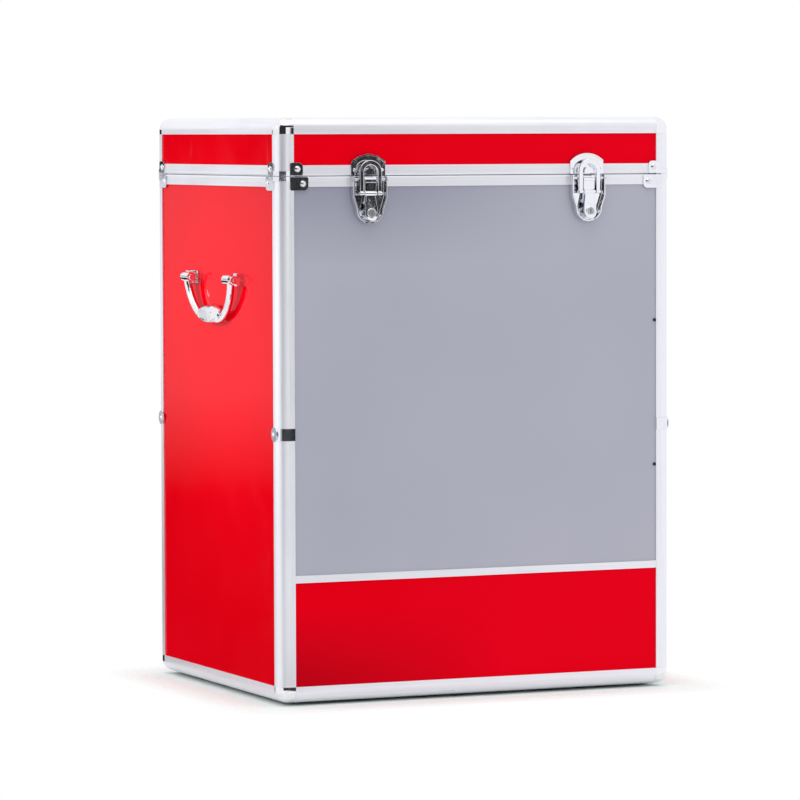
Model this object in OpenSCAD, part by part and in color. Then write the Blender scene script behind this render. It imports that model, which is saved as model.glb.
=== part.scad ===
// Ballot box: an upright case of red boards held in aluminium corner edging, with a clear
// grey front window, a hinged lid with a ballot slot, two draw latches with key locks and a
// drop handle on each side. Millimetres, +Z up, front faces -Y, origin on the floor at the
// middle of the overall footprint.

/* [Case] */
// Width over the edging
case_w = 445; // [380:1:520]
// Depth over the edging
case_d = 350; // [300:1:420]
// Height from the floor to the top of the lid
case_h = 601; // [520:1:680]
// Height of the lid above the seam
lid_h = 59.5; // [52:0.5:80]
// Gap between the lid and the case at the seam
seam_gap = 0.4; // [0.3:0.1:0.8]

/* [Edging] */
// Width of edging that shows on each face
edge_w = 17; // [15:0.5:20]
// Outer radius of the edging
edge_r = 12; // [8:0.5:12.5]
// Wall of the edging over and behind a board
lip_t = 1.3; // [1:0.1:1.8]
// Depth of the groove that holds a board
slot_depth = 7; // [5:0.5:8]
// Bore in the core of the edging for the corner pegs
peg_bore_d = 3.2; // [2.6:0.1:3.6]
// Distance of that bore from both outer faces
peg_inset = 5; // [4.4:0.1:5.4]
// Length of a corner peg
peg_l = 14; // [8:1:24]
// Play round a corner peg
peg_play = 0.1; // [0.05:0.05:0.3]

/* [Rims] */
// Height of the rim edging on each side of the seam
rim_h = 11; // [10:0.5:14]
// Depth of the board groove in a rim
rim_slot = 5.5; // [4.5:0.5:6]
// Radius of the rim's outer edge at the seam
rim_r = 1.8; // [0.8:0.1:3]
// Width of the closing tongue
tongue_w = 1.6; // [1.2:0.1:2]
// Height of the closing tongue above the seam
tongue_h = 3.2; // [2:0.1:3.5]
// Distance of the tongue from the outer face
tongue_inset = 3; // [2.6:0.1:3.6]
// Play of the tongue in its groove
tongue_play = 0.8; // [0.6:0.1:1]

/* [Boards and window] */
// Thickness of the boards
board_t = 5; // [4:0.5:6]
// Thickness of the window sheet
window_t = 4; // [3:0.5:4.5]
// Play between a board's edge and the bottom of its groove
board_play = 0.3; // [0.2:0.1:1]
// Height of the window rail's lower edge above the floor
rail_z = 126.5; // [90:0.5:200]
// Height of the window rail's face
rail_h = 7.7; // [7:0.1:12]
// Depth of each groove in the window rail
rail_slot = 3.1; // [2.5:0.1:3.2]
// Height of the lower window screw above the floor
window_screw_z = 236; // [220:1:260]
// Distance between the two window screws
window_screw_pitch = 152; // [100:1:200]
// Head diameter of a window screw
window_screw_d = 3.4; // [2.5:0.1:5]

/* [Ballot slot] */
// Length of the slot in the lid
slot_l = 220; // [150:1:260]
// Width of the slot in the lid
slot_w = 14; // [8:0.5:20]
// Width of the trim's flange round the slot
slot_flange = 12; // [8:0.5:20]
// Sheet thickness of the trim
slot_trim_t = 1.2; // [0.8:0.1:1.3]

/* [Feet] */
// Gap below the bottom edging
foot_h = 3.3; // [3:0.1:8]
// Diameter of a foot
foot_d = 24; // [16:1:34]
// Distance of a foot's axis from both outer faces
foot_inset = 42; // [32:1:70]

/* [Seam and post brackets] */
// Sheet thickness of the brackets
bracket_t = 1; // [0.8:0.1:1.4]
// Reach of a lid bracket from the corner
lid_bracket_reach = 26.5; // [24:0.5:34]
// Height of a lid bracket
lid_bracket_h = 13.5; // [11:0.5:15]
// Reach of a case bracket from the corner
case_bracket_reach = 32.5; // [26:0.5:40]
// Height of a case bracket
case_bracket_h = 14.5; // [11:0.5:16]
// Height that is left of a seam bracket round the post
bracket_waist = 5; // [3:0.5:7]
// Gap between the arms of a seam bracket and the seam
bracket_gap = 0.6; // [0:0.1:1.5]
// Radius of the smaller corners of a bracket arm
arm_corner_r = 2; // [1:0.1:3]
// Head diameter of a seam bracket's rivet
seam_rivet_d = 6.5; // [4:0.1:7]
// Distance of that rivet from the arm's end
seam_rivet_inset = 6; // [4:0.1:9]
// Height of the post bracket's middle above the floor
mid_bracket_z = 278.5; // [220:0.5:400]
// Height of the post bracket's band
mid_bracket_h = 12.5; // [9:0.5:16]
// Diameter of the post bracket's round end
mid_lobe_d = 15; // [13:0.5:20]
// Head diameter of the other rivets
rivet_d = 5; // [3.5:0.1:6]
// Shank diameter of a bracket rivet
rivet_shank_d = 2.4; // [1.8:0.1:3]

/* [Hinges] */
// Distance of each hinge's middle from the middle of the case
hinge_x = 125; // [80:1:160]
// Length of a hinge
hinge_l = 48; // [36:1:70]
// Distance of the pin's axis behind the case
hinge_off = 5; // [4.6:0.1:7]
// Outer diameter of a knuckle
knuckle_d = 7; // [6:0.1:8]
// Diameter of the hinge pin
hinge_pin_d = 3; // [2.4:0.1:3.4]
// Sheet thickness of a leaf
leaf_t = 1.2; // [1:0.1:1.6]

/* [Latches] */
// Distance of each latch's middle from the middle of the case
latch_x = 124; // [70:1:150]
// Width of a latch over its plates
latch_w = 38; // [36:0.5:44]
// Length of the latch base below the seam
latch_drop = 49; // [47:0.5:56]
// Width of the round lower end of the latch base
base_low_w = 30; // [28:0.5:36]
// Depth below the seam at which the latch base starts to narrow
base_shoulder = 22; // [18:0.5:30]
// Height of the strike plate above the seam
strike_h = 22; // [20:0.5:25]
// Sheet thickness of the plates
latch_t = 1.2; // [1:0.1:1.4]
// Height of the base's side walls off the face
wall_reach = 7; // [6.5:0.1:8]
// Thickness of the side walls
wall_t = 1.8; // [1.4:0.1:2.2]
// Width of the lever
lever_w = 13; // [11:0.5:13.5]
// Sheet thickness of the lever
lever_t = 1.6; // [1.2:0.1:2]
// Diameter of the lever's pin
lever_pin_d = 3; // [2.4:0.1:3.2]
// Diameter of the claw's pin
claw_pin_d = 2; // [1.6:0.1:2.2]
// Outer width of the claw frame
claw_w = 25; // [24:0.5:26]
// Width of each side of the claw frame
claw_bar = 5; // [4:0.1:5.2]
// Sheet thickness of the claw frame
claw_t = 1.6; // [1.2:0.1:2]
// Diameter of the lock plug
plug_d = 7; // [5:0.1:8]

/* [Handles] */
// Height of the handle's pin above the floor
handle_z = 433.5; // [380:0.5:470]
// Distance between the outer ends of the handle's eyes
handle_w = 134; // [110:1:150]
// Drop of the handle's bow below its pin
handle_drop = 46.7; // [42:0.1:56]
// Distance of the pin from the side board
handle_off = 9.5; // [9.2:0.1:14]
// Diameter of the handle's arms
arm_d = 7.7; // [7:0.1:8.4]
// Radius of each of the bow's two bends
bow_r = 51; // [46:0.5:56]
// Diameter of the handle's eyes
eye_d = 10.5; // [9.5:0.1:11]
// Length of an eye
eye_l = 18; // [12:0.5:24]
// Thickness of the grip in the plane of the handle
grip_d = 19.6; // [16:0.1:21]
// Thickness of the grip's ends
grip_end_d = 10; // [8:0.1:12]
// Thickness of the grip away from the board
grip_t = 11; // [9:0.5:11.5]
// Length of the grip
grip_l = 57; // [46:1:64]
// Angle by which the handle leans in towards the board
handle_lean = 4.5; // [0:0.5:4.5]
// Thickness of a handle lug
lug_t = 5.5; // [4:0.5:8]
// Height of a lug's block
lug_h = 13; // [11:0.5:15]
// Thickness of that block away from the board
lug_block = 7; // [5:0.5:8]
// Diameter of a lug's round end
lug_end_d = 8.4; // [7.6:0.1:9.4]
// Length of a lug's flange under the eye
flange_l = 16; // [14:1:24]
// Thickness of a lug's flange
flange_t = 2; // [1.6:0.1:2.2]
// Diameter of the handle's pin
handle_pin_d = 3.6; // [3:0.1:4.4]

/* [Hidden] */
$fn = 64;
// Running clearance on the radius of every pin that a piece turns on
turn_play = 0.05;
// Side clearance between pieces that turn beside each other
side_play = 0.3;
// Amount that a cutting shape passes beyond what it cuts
over = 1;

// Edging, brackets, rivets and pins
dome_share = 0.26;
plate_play = 0.2;
drill_l = 4;
pin_head_h = 0.6;
pin_end = 0.2;
pin_head_over = 1.2;
small_rivet_d = 3.6;
wall_rivet_inset = 3.6;
bracket_clear = 0.3;
arm_start = edge_r + bracket_clear;
arm_round_share = 1 / 3;
mid_lobe_shift = 1;
mid_lobe_y = edge_r + mid_lobe_shift;
mid_rivet_shift = 1.5;
window_screw_h = 0.7 * lip_t;
slot_end_r = 4;
wrap_t = 2 * lip_t + board_t;
slot_floor = edge_w - slot_depth;
board_inset = slot_floor + board_play;
rail_x = case_w - 2 * edge_w;
rail_y = case_d - 2 * edge_w;

// Levels
seam_z = case_h - lid_h;
case_top = seam_z - seam_gap / 2;
lid_low = seam_z + seam_gap / 2;
base_z = foot_h;
board_low = base_z + board_inset;
board_high = seam_z - rim_h + rim_slot - board_play;
lid_board_low = seam_z + rim_h - rim_slot + board_play;
lid_board_high = case_h - board_inset;
board_x = case_w - 2 * board_inset;
board_y = case_d - 2 * board_inset;
rail_web = rail_h - 2 * rail_slot;
tongue_top_play = 0.6;
foot_top = base_z + lip_t;
foot_recess = 2;
foot_screw_d = 4;
foot_head_d = 8;
foot_head_play = 0.5;

// Places on the latch, as (distance from the face, height above the seam)
lever_axis = [4.5, -4];
claw_axis = [7.5, -18];
bend_z = -14.5;
neck_z = -17;
neck_w = 9;
tab_z = -28;
tab_flare = 0.5;
lever_face = 0.4;
tab_step = 1.2;
flare_z = -33;
plug_z = -38;
plug_back = 3;
plug_out = 3.7;
housing_t = 1.2;
keyhole = [1.2, 1.6, 4.4];
eye_wall = 1.5;
eye_r = lever_pin_d / 2 + eye_wall;
eye_heel_share = 0.9;
boss_wall = 0.9;
boss_r = claw_pin_d / 2 + boss_wall;
strike_boss_r = 5.2;
strike_boss_z = 2.6;
strike_rim_t = 1.4;
strike_rim_h = 8;
strike_rim_reach = 1;
wall_rivet_z = -9;
low_rivet_z = 8 - latch_drop;
strike_rivet_z = 6;
thumb_r = 26;
thumb_lip = 4;
thumb_w = 14;
claw_gap = 0.4;
strike_boss_reach = claw_axis[0] - claw_t / 2 - claw_gap;
arch_z = 3.5;
arch_r = claw_w / 2;
strike_arc_r = 27;
wall_in = latch_w / 2 - wall_t;
wall_open = 9;
lever_tip = [12, -46];
lever_curl = [[-1.4, 4], [0, 0], [-1.9, 0.6], [-3.4, 4.4]];
latch_reach = lever_tip[0];

// Hinge
knuckle_gap = side_play;
knuckle_l = (hinge_l - 2 * knuckle_gap) / 3;
hinge_reach = hinge_off + knuckle_d / 2;
leaf_rivet_x = hinge_l / 3;
leaf_rivet_z = 0.64 * rim_h;

// The case sits so that the overall footprint, latches and hinges included, is centred
y_shift = (latch_reach - hinge_reach) / 2;

// Handle
arm_r = arm_d / 2;
handle_head_h = 1.4;
handle_head_over = 3;
arm_inset = 0.3;
arm_y = handle_w / 2 - arm_r - arm_inset;
bow_rise = bow_r + arm_r - handle_drop;
bow_c = arm_y - sqrt(bow_r * bow_r - bow_rise * bow_rise);
bow_start = asin(bow_rise / bow_r);
grip_below = 0.6;
grip_z = grip_d / 2 - handle_drop - grip_below;
grip_taper = (grip_d - grip_end_d) / 2;
grip_arc_r = (grip_l * grip_l / 4 + grip_taper * grip_taper) / (2 * grip_taper);
side_face = case_w / 2 - lip_t;
lug_y = handle_w / 2 + side_play;
lug_rivet_shift = 1;

// Helpers

// Moves a piece from the case's own centre to the centre of the footprint
module placed() {
    translate([0, y_shift, 0]) children();
}

// Repeats a piece at the left and the right
module both_x() {
    for (s = [0, 1]) mirror([s, 0, 0]) children();
}

// Repeats a piece at the front and the back
module both_y() {
    for (s = [0, 1]) mirror([0, s, 0]) children();
}

// Repeats a piece at the four corners
module four() {
    both_x() both_y() children();
}

// Square from the origin with its corner at the origin rounded
module round_corner_2d(w, d, r) {
    translate([r, 0]) square([w - r, d]);
    translate([0, r]) square([w, d - r]);
    intersection() {
        translate([r, r]) circle(r);
        square(r);
    }
}

// Section of the corner edging: an outer skin, two board grooves and a bored core
module edging_2d() {
    difference() {
        round_corner_2d(edge_w, edge_w, edge_r);
        translate([wrap_t, wrap_t]) square(edge_w);
        translate([slot_floor, lip_t]) square([edge_w, board_t]);
        translate([lip_t, slot_floor]) square([board_t, edge_w]);
        translate([peg_inset, peg_inset]) circle(d = peg_bore_d);
    }
}

// Section of a rim, with the seam at the bottom and the board groove at the top
module rim_2d(groove) {
    difference() {
        union() {
            translate([rim_r, seam_gap / 2]) square([wrap_t - rim_r, rim_h - seam_gap / 2]);
            translate([0, seam_gap / 2 + rim_r]) square([wrap_t, rim_h - seam_gap / 2 - rim_r]);
            translate([rim_r, seam_gap / 2 + rim_r]) circle(rim_r);
            if (!groove) translate([tongue_inset, -tongue_h]) square([tongue_w, tongue_h + over]);
        }
        translate([lip_t, rim_h - rim_slot]) square([board_t, rim_slot + over]);
        if (groove) translate([tongue_inset - tongue_play, -over])
            square([tongue_w + 2 * tongue_play, tongue_h + tongue_top_play + over]);
    }
}

// Two long pieces along X, whose section has X as depth and Y as height
module long_pair(length) {
    both_y() translate([-length / 2, -case_d / 2, 0]) rotate([90, 0, 90])
        linear_extrude(length) children();
}

// Two short pieces along Y, whose section has X as depth and Y as height
module short_pair(length) {
    both_x() translate([-case_w / 2, length / 2, 0]) rotate([90, 0, 0])
        linear_extrude(length) children();
}

// Posts at the four corners from one height to another
module posts(low, high) {
    four() translate([-case_w / 2, -case_d / 2, low]) linear_extrude(high - low) edging_2d();
}

// Block with one corner at the origin whose three outer edges and corner are rounded
module round_block(w, r) {
    intersection() {
        cube(w);
        union() {
            translate([r, r, 0]) cube([w - r, w - r, w]);
            translate([r, 0, r]) cube([w - r, w, w - r]);
            translate([0, r, r]) cube([w, w - r, w - r]);
            translate([r, r, r]) cylinder(h = w - r, r = r);
            translate([r, r, r]) rotate([0, 90, 0]) cylinder(h = w - r, r = r);
            translate([r, r, r]) rotate([-90, 0, 0]) cylinder(h = w - r, r = r);
            translate([r, r, r]) sphere(r);
        }
    }
}

// Cast corner with a ball outside, room for three boards inside and three pegs
module corner_piece() {
    core = slot_floor;
    difference() {
        round_block(edge_w, edge_r);
        translate([wrap_t, wrap_t, wrap_t]) cube(edge_w);
        translate([core, core, lip_t]) cube([edge_w, edge_w, board_t]);
        translate([core, lip_t, core]) cube([edge_w, board_t, edge_w]);
        translate([lip_t, core, core]) cube([board_t, edge_w, edge_w]);
    }
    peg_d = peg_bore_d - 2 * peg_play;
    peg_start = edge_w - over;
    translate([peg_inset, peg_inset, peg_start]) cylinder(h = peg_l + over, d = peg_d);
    translate([peg_start, peg_inset, peg_inset]) rotate([0, 90, 0])
        cylinder(h = peg_l + over, d = peg_d);
    translate([peg_inset, peg_start, peg_inset]) rotate([-90, 0, 0])
        cylinder(h = peg_l + over, d = peg_d);
}

// Four corner pieces at the bottom of a box that starts at z = 0
module corner_set() {
    four() translate([-case_w / 2, -case_d / 2, 0]) corner_piece();
}

// Rounded-over end for a bracket arm, as a cutter at its upper corner
module corner_cutter(r, depth) {
    difference() {
        translate([-r, -over, -r]) cube([r + over, depth + 2 * over, r + over]);
        translate([-r, -2 * over, -r]) rotate([-90, 0, 0]) cylinder(h = depth + 4 * over, r = r);
    }
}

// Strip that wraps the corner at the origin, with arms along X and Y
module corner_strip(reach_x, reach_y, height) {
    linear_extrude(height) difference() {
        translate([-bracket_t, -bracket_t])
            round_corner_2d(reach_x + bracket_t, reach_y + bracket_t, edge_r + bracket_t);
        round_corner_2d(reach_x + over, reach_y + over, edge_r);
    }
}

// Cutters that give the arm of a seam bracket along X its outline
module arm_cutters(reach, height) {
    translate([arm_start, -bracket_t - over, -over])
        cube([reach, bracket_t + 2 * over, bracket_gap + over]);
    translate([reach, -bracket_t, height]) corner_cutter(height * arm_round_share, bracket_t);
    translate([reach, -bracket_t, bracket_gap]) mirror([0, 0, 1])
        corner_cutter(arm_corner_r, bracket_t);
    translate([arm_start, -bracket_t, height]) mirror([1, 0, 0])
        corner_cutter(arm_corner_r, bracket_t);
}

// Seam bracket above z = 0: two riveted arms and a narrow waist round the post
module seam_bracket(reach, height) {
    waist_w = arm_start + bracket_t + over;
    difference() {
        corner_strip(reach, reach, height);
        translate([-bracket_t - over, -bracket_t - over, bracket_waist])
            cube([waist_w, waist_w, height]);
        arm_cutters(reach, height);
        mirror([1, -1, 0]) arm_cutters(reach, height);
        seam_rivets(reach, height) shank_hole();
    }
}

// Puts children on both arms of a seam bracket, pointing away from the face
module seam_rivets(reach, height) {
    middle = (height + bracket_gap) / 2;
    translate([reach - seam_rivet_inset, 0, middle]) rotate([90, 0, 0]) children();
    translate([0, reach - seam_rivet_inset, middle]) rotate([0, -90, 0]) children();
}

// Hole for a rivet's shank through any plate it sits on
module shank_hole() {
    cylinder(h = 2 * drill_l, d = rivet_shank_d, center = true);
}

// Domed rivet that starts at its seat in a sheet of thickness t
module rivet(t, head_d, shank_d) {
    dome_h = head_d * dome_share;
    dome_r = (head_d * head_d / 4 + dome_h * dome_h) / (2 * dome_h);
    cylinder(h = t + dome_h / 2, d = shank_d);
    translate([0, 0, t]) intersection() {
        translate([0, 0, dome_h - dome_r]) sphere(dome_r);
        cylinder(h = dome_h, d = head_d);
    }
}

// Post bracket, centred on its height: a band with a round riveted end on the side face
module mid_bracket() {
    difference() {
        union() {
            translate([0, 0, -mid_bracket_h / 2]) corner_strip(edge_w, mid_lobe_y, mid_bracket_h);
            translate([-bracket_t, mid_lobe_y, 0]) rotate([0, 90, 0])
                cylinder(h = bracket_t, d = mid_lobe_d);
        }
        mid_rivet_place() shank_hole();
    }
}

// Seat of the post bracket's rivet
module mid_rivet_place() {
    translate([0, mid_lobe_y + mid_rivet_shift, 0]) rotate([0, -90, 0]) children();
}

// Puts children at the four corners of the case at height z
module at_corners(z) {
    four() translate([-case_w / 2, -case_d / 2, z]) children();
}

// Hinge

// Puts children on each hinge, with X along the pin, Y away from the back and Z up
module at_hinges() {
    both_x() translate([hinge_x, case_d / 2, seam_z]) children();
}

// One knuckle that starts at x, joined to its leaf below the axis
module knuckle(x) {
    translate([x, hinge_off, 0]) rotate([0, 90, 0]) cylinder(h = knuckle_l, d = knuckle_d);
    translate([x, 0, -knuckle_d / 2]) cube([knuckle_l, hinge_off, knuckle_d / 2 - seam_gap / 2]);
}

// Leaf that hangs below the axis, as far as the rim reaches
module leaf() {
    low = seam_gap / 2;
    translate([-hinge_l / 2, 0, -rim_h]) cube([hinge_l, leaf_t, rim_h - low]);
}

// Bore of a leaf's knuckles, with play where the leaf turns on the pin
module hinge_bore(play) {
    translate([-hinge_l, hinge_off, 0]) rotate([0, 90, 0])
        cylinder(h = 2 * hinge_l, d = hinge_pin_d + 2 * play);
}

// Clears the space that the other leaf's knuckle turns in
module knuckle_room(x, length) {
    translate([x - knuckle_gap, hinge_off, 0]) rotate([0, 90, 0])
        cylinder(h = length + 2 * knuckle_gap, d = knuckle_d + 2 * side_play);
}

// Seats of the rivets in a leaf below the axis
module leaf_rivet_places() {
    for (s = [-1, 1]) translate([s * leaf_rivet_x, 0, -leaf_rivet_z])
        rotate([-90, 0, 0]) children();
}

// Latch, with X along the front, Y pointing away from the case and Z above the seam

// Puts children on the latch at the left (side = -1) or the right (side = 1)
module at_latch(side) {
    translate([side * latch_x, -case_d / 2, seam_z]) rotate([0, 0, 180]) children();
}

// Outline of the latch base on the face: straight sides and a round foot
module base_outline(inset) {
    low = base_low_w / 2 - inset;
    half = latch_w / 2 - inset;
    low_z = base_low_w / 2 - latch_drop;
    high_z = -seam_gap / 2 - plate_play;
    translate([0, low_z]) circle(low);
    polygon([[-half, high_z], [half, high_z], [half, -base_shoulder], [low, low_z],
        [-low, low_z], [-half, -base_shoulder]]);
}

// Turns an outline in X and Z into a plate between two distances from the face
module on_face(near, far) {
    translate([0, far, 0]) rotate([90, 0, 0]) linear_extrude(far - near) children();
}

// Round bar across the latch at (distance, height)
module cross_bar(at, length, d) {
    translate([-length / 2, at[0], at[1]]) rotate([0, 90, 0]) cylinder(h = length, d = d);
}

// Seats of the rivets in the latch base
module base_rivet_places() {
    for (s = [-1, 1]) translate([s * (wall_in - wall_rivet_inset), 0, wall_rivet_z])
        rotate([-90, 0, 0]) children();
    translate([0, 0, low_rivet_z]) rotate([-90, 0, 0]) children();
}

// Base: a plate, a wall round it and the bores of the lever's pin
module latch_base() {
    difference() {
        union() {
            on_face(0, latch_t) base_outline(0);
            on_face(0, wall_reach) difference() {
                base_outline(0);
                base_outline(wall_t);
                translate([-wall_in, -wall_open]) square([2 * wall_in, wall_open + over]);
            }
        }
        translate([0, latch_t + thumb_r + thumb_lip, -latch_drop]) rotate([0, 90, 0])
            cylinder(h = thumb_w, r = thumb_r, center = true);
        cross_bar(lever_axis, latch_w + 2 * over, lever_pin_d);
        base_rivet_places() shank_hole();
    }
}

// Side profile of the lever in (distance, height): bent sheet with a curled finger tab
module lever_profile() {
    near = claw_axis[0] - lever_t;
    back = near - lever_t / 2;
    front = near + lever_t / 2 + lever_face;
    polygon(concat(
        [[back, lever_axis[1]], [front, lever_axis[1]], [front, bend_z],
            [near + lever_t + tab_step, tab_z]],
        [for (step = lever_curl) lever_tip + step],
        [[near, tab_z], [back, bend_z]]
    ));
    translate(lever_axis) circle(eye_r);
    translate([lever_axis[0], lever_axis[1] - eye_r * eye_heel_share]) square([eye_r, eye_r]);
    translate(claw_axis) circle(boss_r);
}

// Front outline of the lever in X and Z: upright, a narrow neck, then a round finger tab
module lever_outline() {
    half = lever_w / 2;
    tab_r = half + tab_flare;
    tab_c = lever_tip[1] + tab_r;
    translate([-half, bend_z]) square([lever_w, -bend_z]);
    polygon([[-half, bend_z], [half, bend_z], [neck_w / 2, neck_z], [tab_r, flare_z],
        [tab_r, tab_c], [-tab_r, tab_c], [-tab_r, flare_z], [-neck_w / 2, neck_z]]);
    translate([-half, claw_axis[1] - boss_r]) square([lever_w, 2 * boss_r]);
    translate([0, tab_c]) circle(tab_r);
}

// Boss that carries the lock plug through the lever
module plug_boss(play) {
    translate([0, wall_reach - plug_back - lever_face, plug_z]) rotate([-90, 0, 0])
        cylinder(h = 2 * drill_l, d = plug_d + 2 * play);
}

// Lever with its eye, its claw boss, its lock housing and their bores
module latch_lever() {
    difference() {
        union() {
            intersection() {
                rotate([90, 0, 90]) linear_extrude(latch_w, center = true) lever_profile();
                on_face(0, latch_w) lever_outline();
            }
            translate([0, wall_reach - plug_back - lever_face, plug_z]) rotate([-90, 0, 0])
                cylinder(h = plug_back + plug_out + lever_face, d = plug_d + 2 * housing_t);
        }
        cross_bar(lever_axis, latch_w, lever_pin_d + 2 * turn_play);
        cross_bar(claw_axis, latch_w, claw_pin_d);
        plug_boss(turn_play);
    }
}

// Outline of the claw frame: an arch whose legs reach down to its pin
module claw_outline() {
    difference() {
        union() {
            translate([0, arch_z]) circle(arch_r);
            translate([-arch_r, claw_axis[1]]) square([claw_w, arch_z - claw_axis[1]]);
        }
        translate([0, arch_z]) circle(arch_r - claw_bar);
        translate([claw_bar - arch_r, claw_axis[1] - over])
            square([claw_w - 2 * claw_bar, arch_z - claw_axis[1] + over]);
    }
}

// Claw: the frame with an eye at the foot of each leg
module latch_claw() {
    difference() {
        union() {
            on_face(claw_axis[0] - claw_t / 2, claw_axis[0] + claw_t / 2) claw_outline();
            difference() {
                cross_bar(claw_axis, claw_w, 2 * boss_r);
                cross_bar(claw_axis, claw_w - 2 * claw_bar, 3 * boss_r);
            }
        }
        cross_bar(claw_axis, latch_w, claw_pin_d + 2 * turn_play);
    }
}

// Pin across the latch at (distance, height) with a low head at each end
module headed_pin(at, length, d, head_d) {
    cross_bar(at, length + 2 * pin_end, d);
    for (s = [-1, 1]) translate([s * (length + pin_head_h + 2 * pin_end) / 2, 0, 0])
        cross_bar(at, pin_head_h, head_d);
}

// Lock plug with its keyhole
module lock_plug() {
    top = wall_reach + plug_out;
    difference() {
        translate([0, wall_reach - plug_back, plug_z]) rotate([-90, 0, 0])
            cylinder(h = plug_back + plug_out, d = plug_d);
        translate([-keyhole[0] / 2, top - keyhole[1], plug_z - keyhole[2] / 2])
            cube([keyhole[0], 2 * keyhole[1], keyhole[2]]);
    }
}

// Outline of the strike plate above the seam, with a wide arched top
module strike_outline(inset) {
    low = seam_gap / 2 + plate_play;
    intersection() {
        translate([0, strike_h - strike_arc_r]) circle(strike_arc_r - inset);
        translate([inset - latch_w / 2, low + inset])
            square([latch_w - 2 * inset, strike_h]);
    }
}

// Seats of the rivets in the strike plate
module strike_rivet_places() {
    for (s = [-1, 1]) translate([s * (latch_w / 2 - wall_rivet_inset), 0, strike_rivet_z])
        rotate([-90, 0, 0]) children();
}

// Strike: a plate with a raised edge and the half-round boss that the claw draws on
module latch_strike() {
    difference() {
        union() {
            on_face(0, latch_t) strike_outline(0);
            on_face(0, latch_t + strike_rim_reach) difference() {
                strike_outline(0);
                strike_outline(strike_rim_t);
                translate([-latch_w, -over]) square([2 * latch_w, strike_h - strike_rim_h + over]);
            }
            on_face(0, strike_boss_reach) intersection() {
                translate([0, strike_boss_z]) circle(strike_boss_r);
                translate([-strike_boss_r, strike_boss_z - strike_rim_t])
                    square([2 * strike_boss_r, 2 * strike_boss_r]);
            }
        }
        strike_rivet_places() shank_hole();
    }
}

// Handle, with X away from the side board, Y along it and Z up, at the height of its pin

// Puts children on the left (side = -1) or the right (side = 1)
module at_handle(side) {
    translate([side * side_face, 0, handle_z]) rotate([0, 0, side > 0 ? 0 : 180]) children();
}

// Seats of the rivets in the flanges of the lugs
module lug_rivet_places() {
    both_y() translate([0, lug_y - flange_l / 2 - lug_rivet_shift, 0]) rotate([0, 90, 0]) children();
}

// Lugs: two blocks, each with a round bored end and a flange under the handle's eye
module handle_lugs() {
    difference() {
        both_y() {
            translate([0, lug_y, -lug_h / 2]) cube([lug_block, lug_t, lug_h]);
            translate([0, lug_y, -lug_end_d / 2]) cube([handle_off, lug_t, lug_end_d]);
            translate([handle_off, lug_y, 0]) rotate([-90, 0, 0])
                cylinder(h = lug_t, d = lug_end_d);
            translate([0, lug_y - flange_l, -lug_h / 2])
                cube([flange_t, flange_l + lug_t / 2, lug_h]);
        }
        translate([handle_off, 0, 0]) rotate([-90, 0, 0])
            cylinder(h = 2 * handle_w, d = handle_pin_d, center = true);
        lug_rivet_places() shank_hole();
    }
}

// Handle: two long eyes, a bow of two round bends and a grip that swells in the middle
module drop_handle() {
    translate([handle_off, 0, 0]) rotate([0, handle_lean, 0]) difference() {
        union() {
            both_y() translate([0, handle_w / 2 - eye_l, 0]) rotate([-90, 0, 0])
                cylinder(h = eye_l, d = eye_d);
            both_y() translate([0, bow_c, bow_rise]) rotate([0, 90, 0])
                rotate_extrude(angle = 90 - bow_start) translate([bow_r, 0]) circle(arm_r);
            translate([0, 0, grip_z]) intersection() {
                rotate([90, 0, 0]) rotate_extrude() intersection() {
                    translate([grip_d / 2 - grip_arc_r, 0]) circle(grip_arc_r);
                    translate([0, -grip_l / 2]) square([grip_d, grip_l]);
                }
                cube([grip_t, 2 * handle_w, 2 * grip_d], center = true);
            }
        }
        rotate([-90, 0, 0])
            cylinder(h = 2 * handle_w, d = handle_pin_d + 2 * turn_play, center = true);
    }
}

// Sub-parts of the case

module base_board() {
    placed() color("dimgray") translate([-board_x / 2, -board_y / 2, base_z + lip_t])
        cube([board_x, board_y, board_t]);
}

module side_board(s, low, high) {
    mirror([s, 0, 0]) translate([-case_w / 2 + lip_t, -board_y / 2, low])
        cube([board_t, board_y, high - low]);
}

module end_board(s, low, high, t) {
    mirror([0, s, 0]) translate([-board_x / 2, -case_d / 2 + lip_t, low])
        cube([board_x, t, high - low]);
}

module left_board() {
    placed() color("crimson") side_board(0, board_low, board_high);
}

module right_board() {
    placed() color("crimson") side_board(1, board_low, board_high);
}

module back_board() {
    placed() color("crimson") end_board(1, board_low, board_high, board_t);
}

module front_board() {
    placed() color("crimson") end_board(0, board_low, rail_z + rail_slot - board_play, board_t);
}

module window() {
    placed() color("slategray", 0.6)
        end_board(0, rail_z + rail_h - rail_slot + board_play, board_high, window_t);
}

module window_rail() {
    placed() color("silver") {
        translate([-rail_x / 2, -case_d / 2, rail_z]) rotate([90, 0, 90]) linear_extrude(rail_x)
            difference() {
                square([wrap_t, rail_h]);
                translate([lip_t, -over]) square([board_t, rail_slot + over]);
                translate([lip_t, rail_h - rail_slot]) square([board_t, rail_slot + over]);
            }
        translate([-case_w / 2 + slot_floor, -case_d / 2 + lip_t, rail_z + rail_slot])
            cube([case_w - 2 * slot_floor, board_t, rail_web]);
    }
}

module case_posts() {
    placed() color("silver") posts(base_z + edge_w, case_top);
}

module base_rails_long() {
    placed() color("silver") translate([0, 0, base_z]) long_pair(rail_x) edging_2d();
}

module base_rails_short() {
    placed() color("silver") translate([0, 0, base_z]) short_pair(rail_y) edging_2d();
}

module case_rims_long() {
    placed() color("silver") translate([0, 0, seam_z]) mirror([0, 0, 1])
        long_pair(rail_x) rim_2d(false);
}

module case_rims_short() {
    placed() color("silver") translate([0, 0, seam_z]) mirror([0, 0, 1])
        short_pair(rail_y) rim_2d(false);
}

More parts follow.
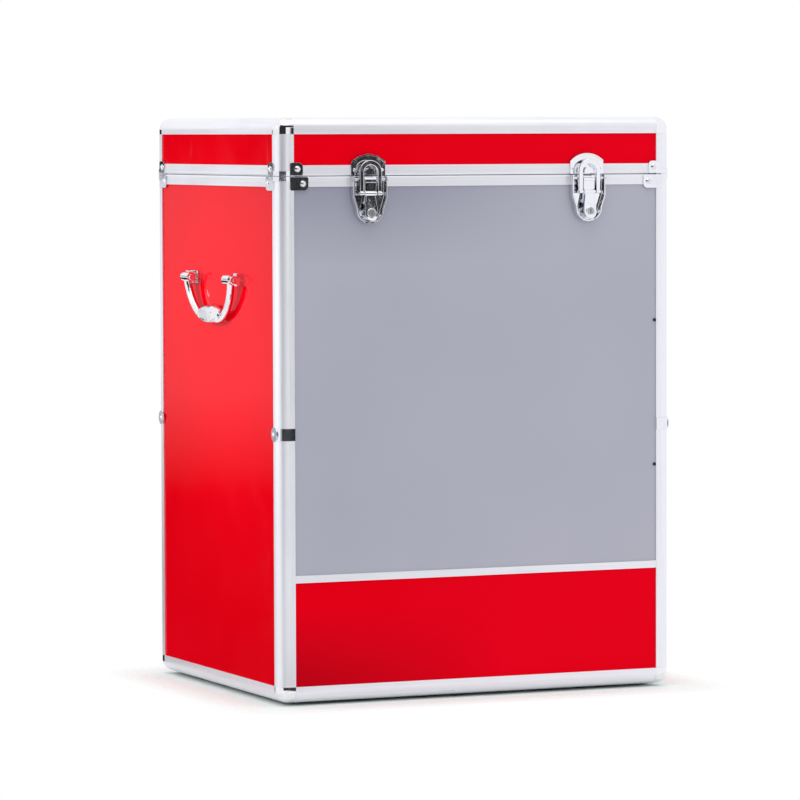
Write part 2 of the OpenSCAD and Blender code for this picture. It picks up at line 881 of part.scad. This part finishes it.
module base_corners() {
    placed() color("gainsboro") translate([0, 0, base_z]) corner_set();
}

module mid_brackets() {
    placed() color("gainsboro") at_corners(mid_bracket_z) mid_bracket();
}

module case_seam_brackets() {
    placed() color("gainsboro") at_corners(case_top) mirror([0, 0, 1])
        seam_bracket(case_bracket_reach, case_bracket_h);
}

module case_bracket_rivets() {
    placed() color("whitesmoke") {
        at_corners(case_top) mirror([0, 0, 1]) seam_rivets(case_bracket_reach, case_bracket_h)
            rivet(bracket_t, seam_rivet_d, rivet_shank_d);
        at_corners(mid_bracket_z) mid_rivet_place() rivet(bracket_t, rivet_d, rivet_shank_d);
    }
}

// Puts children under the base board at the four feet
module at_feet() {
    four() translate([case_w / 2 - foot_inset, case_d / 2 - foot_inset, 0]) children();
}

module feet() {
    placed() color("black") at_feet() difference() {
        union() {
            cylinder(h = foot_recess, d1 = foot_d - foot_recess, d2 = foot_d);
            translate([0, 0, foot_recess]) cylinder(h = foot_top - foot_recess, d = foot_d);
        }
        translate([0, 0, -over]) cylinder(h = foot_top + 2 * over, d = foot_screw_d);
        translate([0, 0, -over]) cylinder(h = foot_recess + over, d = foot_head_d + 2 * foot_head_play);
    }
}

module foot_screws() {
    placed() color("silver") at_feet() translate([0, 0, foot_recess / 2]) {
        cylinder(h = foot_recess / 2, d = foot_head_d);
        cylinder(h = foot_top - foot_recess / 2, d = foot_screw_d);
    }
}

module hinge_lower_leaves() {
    placed() color("gainsboro") at_hinges() difference() {
        union() {
            leaf();
            knuckle(-hinge_l / 2);
            knuckle(hinge_l / 2 - knuckle_l);
        }
        knuckle_room(-knuckle_l / 2, knuckle_l);
        hinge_bore(0);
        leaf_rivet_places() shank_hole();
    }
}

module hinge_pins() {
    placed() color("silver") at_hinges() translate([-hinge_l / 2, hinge_off, 0])
        rotate([0, 90, 0]) cylinder(h = hinge_l, d = hinge_pin_d);
}

module hinge_rivets_case() {
    placed() color("whitesmoke") at_hinges() leaf_rivet_places()
        rivet(leaf_t, rivet_d, rivet_shank_d);
}

module window_screws() {
    placed() color("dimgray") for (k = [0, 1])
        translate([case_w / 2 - edge_w - window_screw_d / 2, lip_t - case_d / 2,
            window_screw_z + k * window_screw_pitch])
            rotate([90, 0, 0]) cylinder(h = window_screw_h, d = window_screw_d);
}

module latch_base_left() {
    placed() color("gainsboro") at_latch(-1) latch_base();
}

module latch_base_right() {
    placed() color("gainsboro") at_latch(1) latch_base();
}

module latch_base_rivets() {
    placed() color("whitesmoke") for (s = [-1, 1]) at_latch(s) base_rivet_places()
        rivet(latch_t, small_rivet_d, rivet_shank_d);
}

module lever_pins() {
    placed() color("silver") for (s = [-1, 1]) at_latch(s)
        headed_pin(lever_axis, latch_w, lever_pin_d, lever_pin_d + pin_head_over);
}

module handle_lugs_left() {
    placed() color("gainsboro") at_handle(-1) handle_lugs();
}

module handle_lugs_right() {
    placed() color("gainsboro") at_handle(1) handle_lugs();
}

module handle_pins() {
    length = eye_l + 2 * side_play + lug_t + pin_head_h;
    placed() color("whitesmoke") for (s = [-1, 1]) at_handle(s) both_y()
        translate([handle_off, handle_w / 2 - eye_l - side_play, 0]) rotate([-90, 0, 0]) {
            cylinder(h = length, d = handle_pin_d);
            translate([0, 0, -handle_head_h])
                cylinder(h = handle_head_h, d = handle_pin_d + handle_head_over);
        }
}

module handle_rivets() {
    placed() color("whitesmoke") for (s = [-1, 1]) at_handle(s) lug_rivet_places()
        rivet(flange_t, rivet_d, rivet_shank_d);
}

// Sub-parts of the lid

module lid_top_board() {
    placed() color("crimson") translate([0, 0, case_h - lip_t - board_t]) difference() {
        translate([-board_x / 2, -board_y / 2, 0]) cube([board_x, board_y, board_t]);
        translate([-slot_l / 2 - slot_trim_t, -slot_w / 2 - slot_trim_t, -over])
            cube([slot_l + 2 * slot_trim_t, slot_w + 2 * slot_trim_t, board_t + 2 * over]);
    }
}

module lid_front_board() {
    placed() color("crimson") end_board(0, lid_board_low, lid_board_high, board_t);
}

module lid_back_board() {
    placed() color("crimson") end_board(1, lid_board_low, lid_board_high, board_t);
}

module lid_left_board() {
    placed() color("crimson") side_board(0, lid_board_low, lid_board_high);
}

module lid_right_board() {
    placed() color("crimson") side_board(1, lid_board_low, lid_board_high);
}

module lid_posts() {
    placed() color("silver") posts(lid_low, case_h - edge_w);
}

module lid_rails_long() {
    placed() color("silver") translate([0, 0, case_h]) mirror([0, 0, 1])
        long_pair(rail_x) edging_2d();
}

module lid_rails_short() {
    placed() color("silver") translate([0, 0, case_h]) mirror([0, 0, 1])
        short_pair(rail_y) edging_2d();
}

module lid_rims_long() {
    placed() color("silver") translate([0, 0, seam_z]) long_pair(rail_x) rim_2d(true);
}

module lid_rims_short() {
    placed() color("silver") translate([0, 0, seam_z]) short_pair(rail_y) rim_2d(true);
}

module lid_corners() {
    placed() color("gainsboro") translate([0, 0, case_h]) mirror([0, 0, 1]) corner_set();
}

module lid_seam_brackets() {
    placed() color("gainsboro") at_corners(lid_low) seam_bracket(lid_bracket_reach, lid_bracket_h);
}

module lid_bracket_rivets() {
    placed() color("whitesmoke") at_corners(lid_low)
        seam_rivets(lid_bracket_reach, lid_bracket_h) rivet(bracket_t, seam_rivet_d, rivet_shank_d);
}

module hinge_upper_leaves() {
    placed() color("gainsboro") at_hinges() mirror([0, 0, 1]) difference() {
        union() {
            leaf();
            knuckle(-knuckle_l / 2);
        }
        for (s = [-1, 1]) knuckle_room(s * (hinge_l / 2 - knuckle_l / 2) - knuckle_l / 2, knuckle_l);
        hinge_bore(turn_play);
        leaf_rivet_places() shank_hole();
    }
}

module hinge_rivets_lid() {
    placed() color("whitesmoke") at_hinges() mirror([0, 0, 1]) leaf_rivet_places()
        rivet(leaf_t, rivet_d, rivet_shank_d);
}

module slot_trim() {
    flange_l = slot_l + 2 * slot_flange;
    flange_w = slot_w + 2 * slot_flange;
    placed() color("gainsboro") translate([0, 0, case_h - lip_t]) difference() {
        union() {
            linear_extrude(slot_trim_t) union() {
                square([flange_l - 2 * slot_end_r, flange_w], center = true);
                square([flange_l, flange_w - 2 * slot_end_r], center = true);
                four() translate([flange_l / 2 - slot_end_r, flange_w / 2 - slot_end_r])
                    circle(slot_end_r);
            }
            translate([-slot_l / 2 - slot_trim_t, -slot_w / 2 - slot_trim_t, -board_t])
                cube([slot_l + 2 * slot_trim_t, slot_w + 2 * slot_trim_t, board_t + slot_trim_t / 2]);
        }
        translate([-slot_l / 2, -slot_w / 2, -board_t - over])
            cube([slot_l, slot_w, board_t + slot_trim_t + 2 * over]);
    }
}

module latch_strikes() {
    placed() color("gainsboro") for (s = [-1, 1]) at_latch(s) latch_strike();
}

module strike_rivets() {
    placed() color("whitesmoke") for (s = [-1, 1]) at_latch(s) strike_rivet_places()
        rivet(latch_t, small_rivet_d, rivet_shank_d);
}

// Moving sub-parts

module latch_lever_left() {
    placed() color("gainsboro") at_latch(-1) latch_lever();
}

module latch_lever_right() {
    placed() color("gainsboro") at_latch(1) latch_lever();
}

module latch_claw_left() {
    placed() color("gainsboro") at_latch(-1) latch_claw();
}

module latch_claw_right() {
    placed() color("gainsboro") at_latch(1) latch_claw();
}

module claw_pin_left() {
    placed() color("silver") at_latch(-1)
        headed_pin(claw_axis, claw_w, claw_pin_d, claw_pin_d + pin_head_over);
}

module claw_pin_right() {
    placed() color("silver") at_latch(1)
        headed_pin(claw_axis, claw_w, claw_pin_d, claw_pin_d + pin_head_over);
}

module lock_plug_left() {
    placed() color("silver") at_latch(-1) lock_plug();
}

module lock_plug_right() {
    placed() color("silver") at_latch(1) lock_plug();
}

module handle_left() {
    placed() color("gainsboro") at_handle(-1) drop_handle();
}

module handle_right() {
    placed() color("gainsboro") at_handle(1) drop_handle();
}

base_board();
left_board();
right_board();
back_board();
front_board();
window();
window_rail();
case_posts();
base_rails_long();
base_rails_short();
case_rims_long();
case_rims_short();
base_corners();
mid_brackets();
case_seam_brackets();
case_bracket_rivets();
feet();
foot_screws();
hinge_lower_leaves();
hinge_pins();
window_screws();
latch_base_left();
latch_base_right();
latch_base_rivets();
lever_pins();
handle_lugs_left();
handle_lugs_right();
handle_pins();
handle_rivets();
lid_top_board();
lid_front_board();
lid_back_board();
lid_left_board();
lid_right_board();
lid_posts();
lid_rails_long();
lid_rails_short();
lid_rims_long();
lid_rims_short();
lid_corners();
lid_seam_brackets();
lid_bracket_rivets();
hinge_upper_leaves();
hinge_rivets_case();
hinge_rivets_lid();
slot_trim();
latch_strikes();
strike_rivets();
latch_lever_left();
latch_lever_right();
latch_claw_left();
latch_claw_right();
claw_pin_left();
claw_pin_right();
lock_plug_left();
lock_plug_right();
handle_left();
handle_right();
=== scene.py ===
import math

import bpy
from mathutils import Matrix, Vector

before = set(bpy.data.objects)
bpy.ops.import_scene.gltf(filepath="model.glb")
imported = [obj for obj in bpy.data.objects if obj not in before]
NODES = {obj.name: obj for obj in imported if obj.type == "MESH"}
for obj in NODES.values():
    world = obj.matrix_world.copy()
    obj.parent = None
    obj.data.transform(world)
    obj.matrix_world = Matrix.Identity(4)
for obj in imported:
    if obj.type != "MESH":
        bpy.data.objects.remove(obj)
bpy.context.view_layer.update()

SCENE = bpy.context.scene
MM = 0.001
X, Y, Z = 0, 1, 2

# The camera, fitted to measured corners of the photo.
CAMERA_PLACE = (-2.02215, -4.58853, 0.58747)
CAMERA_YAW, CAMERA_PITCH, CAMERA_ROLL = 0.41272, -0.05728, -0.00301
CAMERA_LENS, CAMERA_SENSOR = 211.46, 36.0
CAMERA_NEAR, CAMERA_FAR = 0.1, 60

# Spans of a noise's value: its middle, its upper part, and nearly all of it.
MIDDLE = (0.3, 0.7)
UPPER = (0.35, 0.75)
BROAD = (0.3, 0.75)

# Gloss red of the boards. The front board has painted shade toward its lower left corner, as
# in the photo. Colours are linear, and places are object coordinates in metres.
RED_DEEP = (0.735, 0.0002, 0.006, 1)
RED_LIGHT = (0.785, 0.0004, 0.009, 1)
RED_PAINTED_SHADE = (0.49, 0.0008, 0.006, 1)
FRONT_SHADE_ACROSS = (0.03, -0.20)
FRONT_SHADE_UP = (0.10, 0.03)
RED_ROUGH = (0.06, 0.13)
RED_SHEEN = 0.07
RED_SHEEN_TINT = (1, 0.15, 0.5, 1)
SCUFF_LINES = (900, 60, 12)
SCUFF_SHARE = (0.68, 0.76)
SCUFF_ROUGH = (0.0, 0.12)

# Smoke grey of the window, with painted shade toward the upper left, which the photo has
# darker.
GREY_DEEP = (0.42, 0.425, 0.50, 1)
GREY_LIGHT = (0.455, 0.455, 0.53, 1)
GREY_SHADED = (0.295, 0.30, 0.375, 1)
SHADED_UP = (0.45, 0.54)
SHADED_ACROSS = (0.10, -0.08)
GREY_ROUGH = (0.16, 0.28)
GREY_SHEEN = 0.3
GREY_CLEAR = 0.08

# Brushed aluminium: its lines, its darker streaks and its worn patches.
ALUMINIUM = (0.90, 0.90, 0.95)
ALUMINIUM_WORN = (0.72, 0.73, 0.78, 1)
ALUMINIUM_ROUGH = 0.34
ALUMINIUM_METAL = 0.72
LINES_ACROSS, LINES_ALONG = 700, 6
LINES_DARK, LINES_ROUGH = 0.92, 0.05
WORN_SPAN, WORN_SHARE, WORN_ROUGH = (0.55, 0.75), (0.0, 0.35), (-0.04, 0.06)

# Plated metal and dull pieces: shade and added roughness of their smears and patches.
SMEAR_SPAN, SMEAR_SHARE = (0.5, 0.75), (0.0, 0.6)
SMEAR_DARK, SMEAR_ROUGH = 0.8, 0.05
PATCH_DARK, PATCH_ROUGH = 0.7, 0.12

# Edges that turn by more than SHARP_EDGE are rounded.
SHARP_EDGE = math.radians(38)
FLAT_ENOUGH = math.radians(0.4)
WELD_REACH = 0.01 * MM
EDGE_STEPS = 3

# The room and the floor, which fades by the distance from the foot of the case.
ROOM_TONE = (0.98, 0.98, 1, 1)
WHITE = (1, 1, 1, 1)
FLOOR_RADIUS = 1.2
FLOOR_SIDES = 96
FLOOR_DEEP = (0.885, 0.935, 0.905, 1)
FLOOR_LIGHT = (0.915, 0.955, 0.93, 1)
FOOTPRINT_HALF = (0.22, 0.17, 0)
FLOOR_FADE = (0.005, 0.065)

# Screens stand round the room and are seen only in reflections. Each has its first and last
# angle, in degrees from the front towards the left, and rows of (height, glow).
SCREEN_RADIUS = 1.9
SCREEN_STEPS = 12
SCREEN_TONE = (0.94, 0.97, 1, 1)
BLACK, DARK, GREY, BRIGHT, FULL = 0.02, 0.03, 0.45, 0.75, 0.85
SCREENS = {
    "side": ((148, 166), ((-0.35, 0), (0.07, 0), (0.215, BRIGHT), (0.50, FULL),
                          (0.517, FULL), (0.532, 0), (0.64, 0))),
    "front_dark": ((-19.5, -11.5), ((-0.1, BLACK), (1.1, BLACK))),
    "low_band": ((-19.5, 60), ((0.10, BLACK), (0.22, BLACK))),
    "left_grey": ((38, 72), ((-0.1, GREY), (0.50, GREY))),
    "left_dark": ((17, 74), ((0.505, DARK), (1.9, DARK))),
    "high_dark": ((-19.5, 17), ((1.2, DARK), (1.9, DARK))),
}
# A dark sheet on the floor round the left front post, seen the same way: painted shade of the
# floor, which the corner casting and the bottom edging reflect.
SHADE_SHEET_MIDDLE = (-0.2125, -0.165)
SHADE_SHEET_ANGLES = (-27, 60)
SHADE_SHEET_RADII = (0.10, 0.19)
SHADE_SHEET_HEIGHT = 0.001


def make_camera():
    """Yaw is from the back of the case towards its right, pitch is up."""
    ahead = Vector((
        math.sin(CAMERA_YAW) * math.cos(CAMERA_PITCH),
        math.cos(CAMERA_YAW) * math.cos(CAMERA_PITCH),
        math.sin(CAMERA_PITCH),
    ))
    level = Vector((math.cos(CAMERA_YAW), -math.sin(CAMERA_YAW), 0))
    upright = level.cross(ahead)
    right = math.cos(CAMERA_ROLL) * level + math.sin(CAMERA_ROLL) * upright
    up = -math.sin(CAMERA_ROLL) * level + math.cos(CAMERA_ROLL) * upright
    camera = bpy.data.objects.new("camera", bpy.data.cameras.new("camera"))
    SCENE.collection.objects.link(camera)
    turn = Matrix((right, up, -ahead)).transposed()
    camera.matrix_world = Matrix.Translation(CAMERA_PLACE) @ turn.to_4x4()
    camera.data.lens = CAMERA_LENS
    camera.data.sensor_width = CAMERA_SENSOR
    camera.data.clip_start, camera.data.clip_end = CAMERA_NEAR, CAMERA_FAR
    SCENE.camera = camera


class Tree:
    """Node tree of a material or a world. A helper adds one node and returns its output."""

    def __init__(self, owner):
        owner.use_nodes = True
        self.tree = owner.node_tree
        self.tree.nodes.clear()

    def add(self, kind, out=0, settings=None, **inputs):
        """Inputs go by the name of their socket, or by its number as i0, i1 and so on."""
        node = self.tree.nodes.new(kind)
        for key, value in (settings or {}).items():
            setattr(node, key, value)
        for key, value in inputs.items():
            socket = node.inputs[int(key[1:]) if key[1:].isdigit() else key.replace("_", " ")]
            if isinstance(value, bpy.types.NodeSocket):
                self.tree.links.new(value, socket)
            else:
                socket.default_value = value
        return node.outputs[out]

    def place(self, stretch=(1, 1, 1)):
        """Object coordinates in metres, stretched per axis."""
        where = self.add("ShaderNodeTexCoord", "Object")
        return self.add("ShaderNodeMapping", Vector=where, Scale=stretch)

    def axis(self, where, index):
        return self.add("ShaderNodeSeparateXYZ", index, Vector=where)

    def noise(self, where, scale=1.0, detail=3.0, rough=0.5):
        return self.add("ShaderNodeTexNoise", Vector=where, Scale=scale, Detail=detail,
                        Roughness=rough)

    def spread(self, value, span, onto=(0.0, 1.0)):
        """Maps a span of the value onto another one, clamped."""
        return self.add("ShaderNodeMapRange", Value=value, From_Min=span[0], From_Max=span[1],
                        To_Min=onto[0], To_Max=onto[1])

    def plus(self, a, b):
        return self.add("ShaderNodeMath", settings={"operation": "ADD"}, i0=a, i1=b)

    def times(self, a, b):
        return self.add("ShaderNodeMath", settings={"operation": "MULTIPLY"}, i0=a, i1=b)

    def vector(self, operation, **inputs):
        return self.add("ShaderNodeVectorMath", settings={"operation": operation}, **inputs)

    def mix(self, share, a, b):
        """Mixes two colours."""
        return self.add("ShaderNodeMix", 2, {"data_type": "RGBA"}, i0=share, i6=a, i7=b)

    def bump(self, height, strength, reach):
        return self.add("ShaderNodeBump", Height=height, Strength=strength, Distance=reach)

    def close(self, shader, kind="ShaderNodeOutputMaterial"):
        """Leads a shader to the surface."""
        self.tree.links.new(shader, self.tree.nodes.new(kind).inputs["Surface"])

    def principled(self, **inputs):
        self.close(self.add("ShaderNodeBsdfPrincipled", **inputs))


def red_board(name, painted_shade_corner=False):
    """Gloss red board with faint patches, smudges, fine scuffs and orange peel, and on request
    painted shade toward its lower left corner.
    """
    made = bpy.data.materials.new(name)
    t = Tree(made)
    where = t.place()
    patch = t.spread(t.noise(where, scale=4.0, detail=2.0), MIDDLE)
    red = t.mix(patch, RED_DEEP, RED_LIGHT)
    # Painted shade: the red turns darker toward the lower left corner of the board.
    if painted_shade_corner:
        shade_near_left = t.spread(t.axis(where, X), FRONT_SHADE_ACROSS)
        shade_near_floor = t.spread(t.axis(where, Z), FRONT_SHADE_UP)
        red = t.mix(t.times(shade_near_left, shade_near_floor), red, RED_PAINTED_SHADE)
    smudge = t.spread(t.noise(where, scale=18.0, detail=5.0, rough=0.6), UPPER, RED_ROUGH)
    scuff = t.spread(t.noise(t.place(SCUFF_LINES), detail=2.0), SCUFF_SHARE, SCUFF_ROUGH)
    peel = t.noise(where, scale=260.0, detail=2.0, rough=0.4)
    t.principled(Base_Color=red, Roughness=t.plus(smudge, scuff), Specular_IOR_Level=RED_SHEEN,
                 Specular_Tint=RED_SHEEN_TINT,
                 Normal=t.bump(peel, strength=0.04, reach=0.4 * MM))
    return made


def window_sheet():
    """Smoke-grey translucent sheet with faint clouds, smudges and grain, and painted shade
    toward the upper left.
    """
    made = bpy.data.materials.new("window")
    t = Tree(made)
    where = t.place()
    cloud = t.spread(t.noise(where, scale=3.5, detail=2.0), MIDDLE)
    grey = t.mix(cloud, GREY_DEEP, GREY_LIGHT)
    # Painted shade: the grey turns darker toward the upper left of the sheet.
    shade_high = t.spread(t.axis(where, Z), SHADED_UP)
    shade_near_left = t.spread(t.axis(where, X), SHADED_ACROSS)
    grey = t.mix(t.times(shade_high, shade_near_left), grey, GREY_SHADED)
    smudge = t.spread(t.noise(where, scale=22.0, detail=5.0, rough=0.6), UPPER, GREY_ROUGH)
    grain = t.noise(where, scale=600.0, detail=2.0)
    t.principled(Base_Color=grey, Roughness=smudge, Specular_IOR_Level=GREY_SHEEN,
                 Transmission_Weight=GREY_CLEAR,
                 Normal=t.bump(grain, strength=0.03, reach=0.3 * MM))
    return made


def brushed(name, along):
    """Satin aluminium with fine lines along one axis and worn patches."""
    made = bpy.data.materials.new(name)
    t = Tree(made)
    stretch = [LINES_ACROSS] * 3
    stretch[along] = LINES_ALONG
    lines = t.noise(t.place(tuple(stretch)), rough=0.6)
    patch = t.noise(t.place(), scale=9.0, detail=4.0, rough=0.6)
    darker = tuple(LINES_DARK * c for c in ALUMINIUM)
    tone = t.mix(t.spread(lines, MIDDLE), darker + (1,), ALUMINIUM + (1,))
    worn = t.mix(t.spread(patch, WORN_SPAN, WORN_SHARE), tone, ALUMINIUM_WORN)
    satin = t.spread(lines, MIDDLE,
                     (ALUMINIUM_ROUGH - LINES_ROUGH, ALUMINIUM_ROUGH + LINES_ROUGH))
    satin = t.plus(satin, t.spread(patch, MIDDLE, WORN_ROUGH))
    t.principled(Base_Color=worn, Metallic=ALUMINIUM_METAL, Roughness=satin,
                 Normal=t.bump(lines, strength=0.05, reach=0.2 * MM))
    return made


def plated(name, base, rough, bumps=0.05, waves=110.0):
    """Bright plated metal with faint smears; waves are the scale of its bumps."""
    made = bpy.data.materials.new(name)
    t = Tree(made)
    where = t.place()
    smear = t.noise(where, scale=40.0, detail=5.0, rough=0.6)
    wave = t.noise(where, scale=waves, detail=2.0)
    darker = tuple(SMEAR_DARK * c for c in base)
    tone = t.mix(t.spread(smear, SMEAR_SPAN, SMEAR_SHARE), base + (1,), darker + (1,))
    t.principled(Base_Color=tone, Metallic=1.0,
                 Roughness=t.spread(smear, BROAD, (rough, rough + SMEAR_ROUGH)),
                 Normal=t.bump(wave, bumps, reach=1.0 * MM))
    return made


def dull(name, base, rough, metal=0.0):
    """Dull, slightly grainy surface with darker patches."""
    made = bpy.data.materials.new(name)
    t = Tree(made)
    where = t.place()
    fine = t.noise(where, scale=500.0)
    broad = t.noise(where, scale=25.0, detail=4.0, rough=0.6)
    darker = tuple(PATCH_DARK * c for c in base)
    tone = t.mix(t.spread(broad, BROAD), base + (1,), darker + (1,))
    t.principled(Base_Color=tone, Metallic=metal,
                 Roughness=t.spread(broad, BROAD, (rough, rough + PATCH_ROUGH)),
                 Normal=t.bump(fine, strength=0.2, reach=0.4 * MM))
    return made


RED = red_board("red_board")
FRONT_RED_PAINTED_SHADE = red_board("front_red_painted_shade", painted_shade_corner=True)
WINDOW = window_sheet()
EDGING_X = brushed("edging_x", X)
EDGING_Y = brushed("edging_y", Y)
EDGING_Z = brushed("edging_z", Z)
CHROME = plated("chrome", (0.90, 0.90, 0.93), rough=0.04)
BRACKET = plated("bracket", (0.86, 0.87, 0.93), rough=0.06)
HARDWARE = plated("hardware", (0.88, 0.89, 0.93), rough=0.05, bumps=0.12)
CAST = plated("cast", (0.88, 0.88, 0.91), rough=0.05, bumps=0.5, waves=150.0)
RIVET = plated("rivet_steel", (0.80, 0.80, 0.82), rough=0.18)
LOCK = dull("lock", (0.50, 0.50, 0.53), rough=0.2, metal=1.0)
BOARD = dull("base_board", (0.16, 0.13, 0.10), rough=0.6)
SCREW = dull("dark_screw", (0.03, 0.03, 0.035), rough=0.35, metal=0.8)
RUBBER = dull("rubber", (0.02, 0.02, 0.02), rough=0.6)

# Material, slot, width of the rounded edges in mm, and the nodes that have them.
FINISH = (
    (RED, "red_board", 0.3, (
        "left_board", "right_board", "back_board", "lid_top_board", "lid_front_board",
        "lid_back_board", "lid_left_board", "lid_right_board")),
    # The front board has painted shade toward its lower left corner.
    (FRONT_RED_PAINTED_SHADE, "red_board", 0.3, ("front_board",)),
    (WINDOW, "window", 0.3, ("window",)),
    (BOARD, "base_board", 0.3, ("base_board",)),
    (EDGING_X, "edging", 0.35, (
        "window_rail", "base_rails_long", "case_rims_long", "lid_rails_long",
        "lid_rims_long")),
    (EDGING_Y, "edging", 0.35, (
        "base_rails_short", "case_rims_short", "lid_rails_short", "lid_rims_short")),
    (EDGING_Z, "edging", 0.35, ("case_posts", "lid_posts")),
    (EDGING_X, "slot_trim", 0.35, ("slot_trim",)),
    (CHROME, "corner", 0.5, ("base_corners", "lid_corners")),
    (BRACKET, "hardware", 0.3, ("mid_brackets", "case_seam_brackets", "lid_seam_brackets")),
    (HARDWARE, "hardware", 0.35, (
        "hinge_lower_leaves", "hinge_upper_leaves", "latch_strikes")),
    (HARDWARE, "hardware", 0.6, ("latch_base_left", "latch_base_right")),
    (HARDWARE, "hardware", 0.4, ("latch_lever_left", "latch_lever_right")),
    (HARDWARE, "hardware", 0.78, ("latch_claw_left", "latch_claw_right")),
    (CAST, "handle", 0.8, (
        "handle_left", "handle_right", "handle_lugs_left", "handle_lugs_right")),
    (RIVET, "steel", 0.2, (
        "case_bracket_rivets", "lid_bracket_rivets", "hinge_pins", "hinge_rivets_case",
        "hinge_rivets_lid", "latch_base_rivets", "lever_pins", "strike_rivets",
        "claw_pin_left", "claw_pin_right", "handle_pins", "handle_rivets")),
    (LOCK, "lock", 0.25, ("lock_plug_left", "lock_plug_right")),
    (SCREW, "dark_screw", 0.2, ("foot_screws", "window_screws")),
    (RUBBER, "rubber", 0.6, ("feet",)),
)
# The sheet of the latches, whose edges are rounded past the limit that short edges set.
WIDE_EDGED = [f"latch_{piece}_{side}" for piece in ("base", "lever", "claw")
              for side in ("left", "right")]


def soften(node, width):
    """Rounds the sharp edges of a CAD node for the picture, with modifiers only."""
    mesh = node.data
    # The normals that came with the mesh would hide the rounded edges.
    if "custom_normal" in mesh.attributes:
        mesh.attributes.remove(mesh.attributes["custom_normal"])
    for polygon in mesh.polygons:
        polygon.use_smooth = True
    weld = node.modifiers.new("weld", "WELD")
    weld.merge_threshold = WELD_REACH
    flat = node.modifiers.new("flat", "DECIMATE")
    flat.decimate_type = "DISSOLVE"
    flat.angle_limit = FLAT_ENOUGH
    bevel = node.modifiers.new("edge", "BEVEL")
    bevel.width = width * MM
    bevel.segments = EDGE_STEPS
    bevel.limit_method = "ANGLE"
    bevel.angle_limit = SHARP_EDGE
    bevel.use_clamp_overlap = node.name not in WIDE_EDGED
    bevel.harden_normals = True


def dress():
    """Gives each node its material and its rounded edges."""
    for material, slot, width, names in FINISH:
        for name in names:
            node = NODES[name]
            node.data.materials.clear()
            node.data.materials.append(material)
            soften(node, width)


def make_world():
    """White to the camera, and a nearly white room to everything else."""
    world = bpy.data.worlds.new("room")
    SCENE.world = world
    t = Tree(world)
    seen = t.add("ShaderNodeLightPath", "Is Camera Ray")
    room = t.add("ShaderNodeBackground", Color=ROOM_TONE, Strength=1.0)
    white = t.add("ShaderNodeBackground", Color=WHITE, Strength=1.0)
    both = t.add("ShaderNodeMixShader", i0=seen, i1=room, i2=white)
    t.close(both, "ShaderNodeOutputWorld")


def make_floor():
    """A pale floor that fades out round the case, so that it ends in the background."""
    bpy.ops.mesh.primitive_circle_add(vertices=FLOOR_SIDES, radius=FLOOR_RADIUS,
                                      fill_type="NGON", location=(0, 0, 0))
    floor = bpy.context.object
    floor.name = "floor"
    made = bpy.data.materials.new("floor")
    t = Tree(made)
    where = t.place()
    past = t.vector("SUBTRACT", i0=t.vector("ABSOLUTE", i0=where), i1=FOOTPRINT_HALF)
    past = t.vector("MAXIMUM", i0=past, i1=(0, 0, 0))
    away = t.add("ShaderNodeVectorMath", "Value", {"operation": "LENGTH"}, i0=past)
    tone = t.mix(t.noise(where, scale=3.0, detail=2.0), FLOOR_DEEP, FLOOR_LIGHT)
    ground = t.add("ShaderNodeBsdfDiffuse", Color=tone)
    gone = t.add("ShaderNodeBsdfTransparent")
    t.close(t.add("ShaderNodeMixShader", i0=t.spread(away, FLOOR_FADE), i1=ground, i2=gone))
    floor.data.materials.append(made)


def lamp(name, kind, place, target, **settings):
    """A lamp at a place that points at a target."""
    data = bpy.data.lights.new(name, kind)
    for key, value in settings.items():
        setattr(data, key, value)
    made = bpy.data.objects.new(name, data)
    SCENE.collection.objects.link(made)
    look = (Vector(place) - Vector(target)).to_track_quat("Z", "Y")
    made.matrix_world = Matrix.Translation(place) @ look.to_matrix().to_4x4()
    return made


def make_lamps():
    overhead = lamp("overhead", "AREA", place=(-0.3, -0.5, 2.4), target=(0, 0, 0.3),
                    shape="RECTANGLE", size=2.2, size_y=1.8, energy=10)
    overhead.visible_camera = False
    # Lights the middle of the left board more than its ends.
    lamp("side_lamp", "SPOT", place=(-1.7, 0.6, 0.95), target=(-0.22, 0, 0.37), energy=50,
         spot_size=math.radians(15), spot_blend=0.6, shadow_soft_size=0.12)


def screen(name, centre, angles, rows):
    """A bent glowing sheet round a centre, seen only in reflections.

    Angles are in degrees from the front towards the left; rows are (radius, height, glow)."""
    first, last = angles
    turn = [math.radians(first + (last - first) * k / SCREEN_STEPS)
            for k in range(SCREEN_STEPS + 1)]
    points = [(centre[0] - r * math.sin(a), centre[1] - r * math.cos(a), z)
              for r, z, _ in rows for a in turn]
    wide = len(turn)
    faces = [(r * wide + k, r * wide + k + 1, (r + 1) * wide + k + 1, (r + 1) * wide + k)
             for r in range(len(rows) - 1) for k in range(SCREEN_STEPS)]
    mesh = bpy.data.meshes.new(name)
    mesh.from_pydata(points, [], faces)
    glow = mesh.attributes.new("glow", "FLOAT", "POINT")
    for k in range(len(points)):
        glow.data[k].value = rows[k // wide][2]
    made = bpy.data.objects.new(name, mesh)
    SCENE.collection.objects.link(made)
    material = bpy.data.materials.new(name)
    t = Tree(material)
    strength = t.add("ShaderNodeAttribute", "Fac", {"attribute_name": "glow"})
    t.close(t.add("ShaderNodeEmission", Color=SCREEN_TONE, Strength=strength))
    mesh.materials.append(material)
    made.visible_camera = made.visible_diffuse = made.visible_shadow = False


def make_screens():
    """What the polished metal and the gloss boards reflect besides the white room."""
    for name, (angles, rows) in SCREENS.items():
        screen(name, (0, 0), angles, [(SCREEN_RADIUS, z, glow) for z, glow in rows])
    # Painted shade: a dark sheet, seen only in reflections, that stands in for shade on the
    # floor.
    screen("floor_shade_sheet", SHADE_SHEET_MIDDLE, SHADE_SHEET_ANGLES, [(r, SHADE_SHEET_HEIGHT, DARK) for r in SHADE_SHEET_RADII])


dress()
make_camera()
make_world()
make_floor()
make_lamps()
make_screens()
SCENE.view_settings.view_transform = "Standard"
